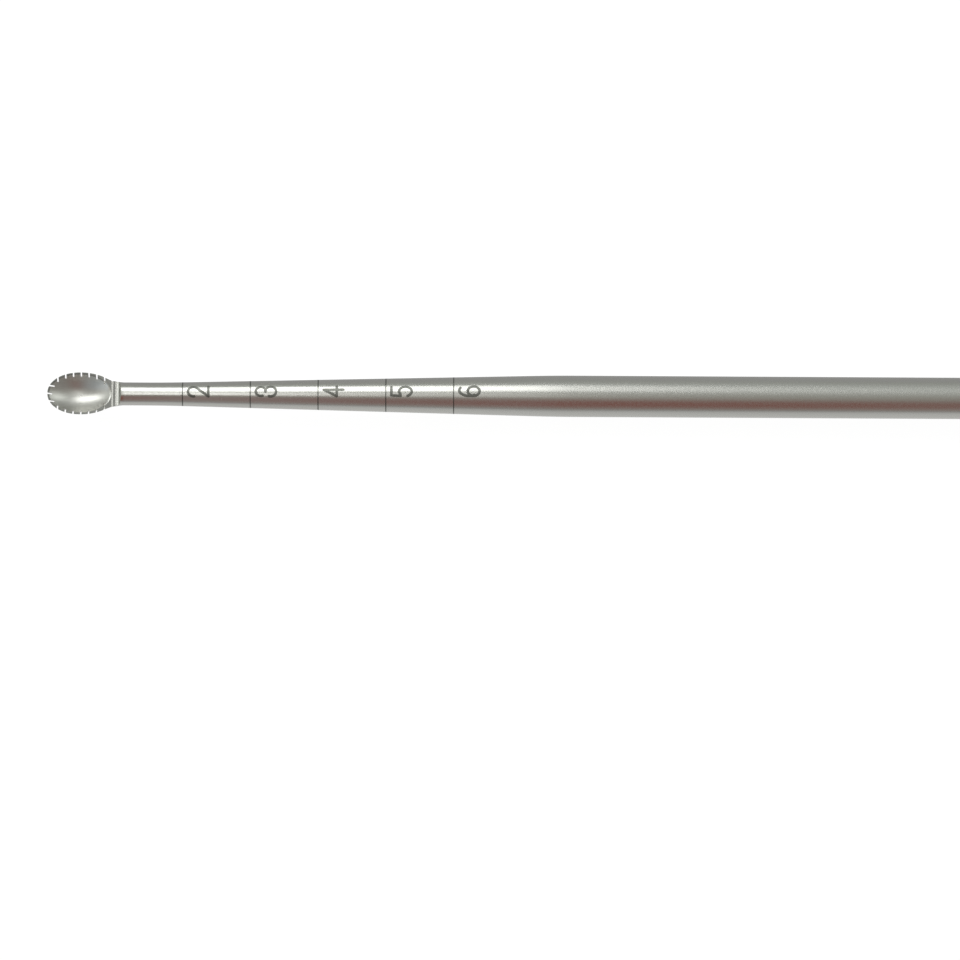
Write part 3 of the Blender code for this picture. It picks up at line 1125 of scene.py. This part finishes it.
        window = add_node(
            tree,
            "ShaderNodeMapRange",
            {
                "Value": facing.outputs["Value"],
                "From Min": window_edge,
                "From Max": window_full,
                "To Min": 1.0,
                "To Max": window_light,
            },
            interpolation_type="SMOOTHSTEP",
        )
        end_wall_full, end_wall_edge, end_wall_light = -0.95, -0.62, 1.95
        end_wall = add_node(
            tree,
            "ShaderNodeMapRange",
            {
                "Value": split.outputs["X"],
                "From Min": end_wall_full,
                "From Max": end_wall_edge,
                "To Min": end_wall_light,
                "To Max": 1.0,
            },
        )
        strength = add_node(
            tree,
            "ShaderNodeMath",
            {0: window.outputs["Result"], 1: end_wall.outputs["Result"]},
            operation="MULTIPLY",
        )
        room = add_node(
            tree,
            "ShaderNodeBackground",
            {"Color": room_colour.outputs["Result"], "Strength": strength.outputs[0]},
        )
        backdrop = add_node(tree, "ShaderNodeBackground", {"Color": WHITE, "Strength": 1.0})
        path = add_node(tree, "ShaderNodeLightPath")
        seen = add_node(
            tree,
            "ShaderNodeMixShader",
            {0: path.outputs["Is Camera Ray"], 1: room.outputs[0], 2: backdrop.outputs[0]},
        )
        add_node(tree, "ShaderNodeOutputWorld", {"Surface": seen.outputs[0]})
        context.scene.world = world

    def camera(self, context, stage):
        """A long lens above the shaft, turned a little off level as in the photograph."""
        lens = bpy.data.cameras.new("camera")
        lens.sensor_width = 36.0
        lens.lens = lens.sensor_width * stage.distance / stage.view_width
        lens.clip_start, lens.clip_end = 0.01, 10.0
        back = Vector((0.0, -math.cos(stage.elevation), math.sin(stage.elevation)))
        up = Vector((0.0, math.sin(stage.elevation), math.cos(stage.elevation)))
        aim = Vector((x_at(stage.view_centre), 0.0, AXIS_HEIGHT)) - up * stage.view_rise
        camera = bpy.data.objects.new("camera", lens)
        camera.location = aim + back * stage.distance
        camera.rotation_mode = "QUATERNION"
        level = Matrix((Vector((1, 0, 0)), up, back)).transposed().to_quaternion()
        camera.rotation_quaternion = level @ Quaternion((0, 0, 1), stage.roll)
        context.scene.collection.objects.link(camera)
        context.scene.camera = camera


class CURETTE_PT_panel(bpy.types.Panel):
    """Lists the steps that build the curette"""

    bl_idname = "CURETTE_PT_panel"
    bl_label = "Serrated Cup Curette"
    bl_space_type = "VIEW_3D"
    bl_region_type = "UI"
    bl_category = "Curette"

    def draw(self, context):
        for step in STEPS:
            self.layout.operator(step.bl_idname)


STEPS = (CURETTE_OT_steel, CURETTE_OT_rings, CURETTE_OT_numerals, CURETTE_OT_stage)
GROUPS = {
    "curette_cup": CupSizes,
    "curette_shaft": ShaftSizes,
    "curette_marks": MarkSizes,
    "curette_finish": SteelFinish,
    "curette_stage": StageSettings,
}


def register():
    for group in GROUPS.values():
        bpy.utils.register_class(group)
    for name, group in GROUPS.items():
        setattr(bpy.types.Scene, name, PointerProperty(type=group))
    for step in (*STEPS, CURETTE_PT_panel):
        bpy.utils.register_class(step)


def unregister():
    for step in (CURETTE_PT_panel, *reversed(STEPS)):
        bpy.utils.unregister_class(step)
    for name, group in GROUPS.items():
        delattr(bpy.types.Scene, name)
        bpy.utils.unregister_class(group)


def main():
    register()
    bpy.ops.curette.steel()
    bpy.ops.curette.rings()
    bpy.ops.curette.numerals()
    bpy.ops.curette.stage()


if __name__ == "__main__":
    main()
